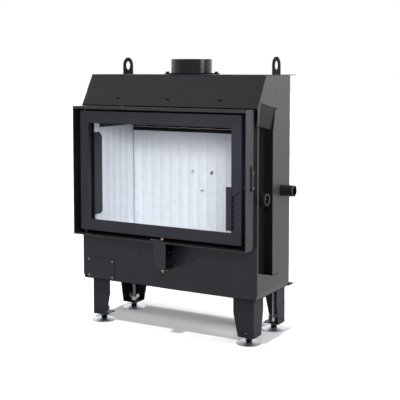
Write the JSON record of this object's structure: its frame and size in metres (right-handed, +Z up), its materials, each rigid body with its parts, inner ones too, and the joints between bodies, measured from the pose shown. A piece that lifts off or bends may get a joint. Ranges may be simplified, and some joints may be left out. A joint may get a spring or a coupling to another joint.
{
  "type": "fireplace insert",
  "caption": "Sheet-steel fireplace insert with a hinged glass door in a box surround, a sloping hood, a round flue spigot and adjustable screw feet.",
  "frame": {"origin": "on the floor under the middle of the whole part, with its feet and its side air pipe", "axes": "+Z up, -Y towards the user in front of the door, +X to the right seen from the front"},
  "size_m": [0.822, 0.393, 1.0475],
  "materials": {
    "stove_paint": "matt heat-resistant anthracite paint",
    "bare_steel": "bare or galvanised sheet steel",
    "stove_black": "matt black heat-resistant paint",
    "zinc": "bright zinc plate",
    "chrome": "polished plated steel",
    "brass": "turned brass",
    "lining": "pressed light lining board, dry and matt",
    "glass": "clear ceramic glass",
    "rope": "braided glass-fibre rope"
  },
  "bodies": {
    "casing": {"lower_front_panel": "stove_paint", "side_panel_left": "stove_paint", "side_panel_right": "stove_paint", "recess_liner": "stove_paint", "recess_flap": "stove_paint", "front_hood": "stove_paint", "top_plate": "stove_paint", "bottom_plate": "bare_steel", "rear_shield": "bare_steel", "firebox_shell": "stove_black", "firebox_stands": "bare_steel", "seal_plate": "stove_black", "door_surround": "stove_paint", "surround_bolts": "stove_paint", "smoke_hood": "stove_black", "flue_spigot": "stove_paint", "flue_flange": "stove_paint", "flue_bolts": "zinc", "lifting_eye_left": "stove_paint", "lifting_eye_right": "stove_paint", "lining_back": "lining", "lining_left": "lining", "lining_right": "lining", "hearth_slab": "lining", "lining_rail": "bare_steel", "lining_bracket_left": "bare_steel", "lining_bracket_right": "bare_steel", "baffle_lower": "lining", "baffle_upper": "bare_steel", "hinge_plates": "bare_steel", "hinge_bush": "brass", "latch_keeper": "bare_steel", "keeper_screws": "zinc", "access_cover": "stove_paint", "cover_screws": "zinc", "control_guard": "stove_paint", "guard_screws": "zinc", "air_box": "bare_steel", "recess_air_pipe": "bare_steel", "side_air_pipe": "bare_steel", "leg_front_left": "stove_paint", "leg_front_right": "stove_paint", "leg_rear_left": "stove_paint", "leg_rear_right": "stove_paint", "wing_nuts": "zinc"},
    "door": {"door_frame": "stove_paint", "door_glass": "glass", "door_rope": "rope", "glass_clips": "bare_steel", "clip_screws": "zinc", "latch_pin": "bare_steel"},
    "handle": {"door_handle": "stove_paint"},
    "control": {"control_spindle": "bare_steel", "control_lever": "bare_steel", "control_knobs": "brass"},
    "slide": {"air_slide": "bare_steel"},
    "foot_fl": {"foot_front_left": "chrome"},
    "foot_fr": {"foot_front_right": "chrome"},
    "foot_rl": {"foot_rear_left": "chrome"},
    "foot_rr": {"foot_rear_right": "chrome"}
  },
  "joints": [
    {"name": "door_swing", "type": "hinge", "parent": "casing", "child": "door", "pos_m": [-0.358, -0.1715, 0.611], "axis": [0, 0, -1], "range_deg": [0, 110]},
    {"name": "handle_pull", "type": "hinge", "parent": "door", "child": "handle", "pos_m": [0.316, -0.1695, 0.59], "axis": [0, 0, 1], "range_deg": [0, 25]},
    {"name": "air_control", "type": "hinge", "parent": "casing", "child": "control", "pos_m": [-0.006, -0.1755, 0.32], "axis": [0, 0, 1], "range_deg": [0, 60]},
    {"name": "air_slide_travel", "type": "slide", "parent": "casing", "child": "slide", "axis": [0, 1, 0], "range_m": [0, 0.01395]},
    {"name": "foot_fl_height", "type": "slide", "parent": "casing", "child": "foot_fl", "axis": [0, 0, -1], "range_m": [-0.008, 0.04]},
    {"name": "foot_fr_height", "type": "slide", "parent": "casing", "child": "foot_fr", "axis": [0, 0, -1], "range_m": [-0.008, 0.04]},
    {"name": "foot_rl_height", "type": "slide", "parent": "casing", "child": "foot_rl", "axis": [0, 0, -1], "range_m": [-0.008, 0.04]},
    {"name": "foot_rr_height", "type": "slide", "parent": "casing", "child": "foot_rr", "axis": [0, 0, -1], "range_m": [-0.008, 0.04]}
  ],
  "couplings": [
    {"joint": "air_control", "follows": "air_slide_travel", "rad_per_m": 74.8}
  ]
}
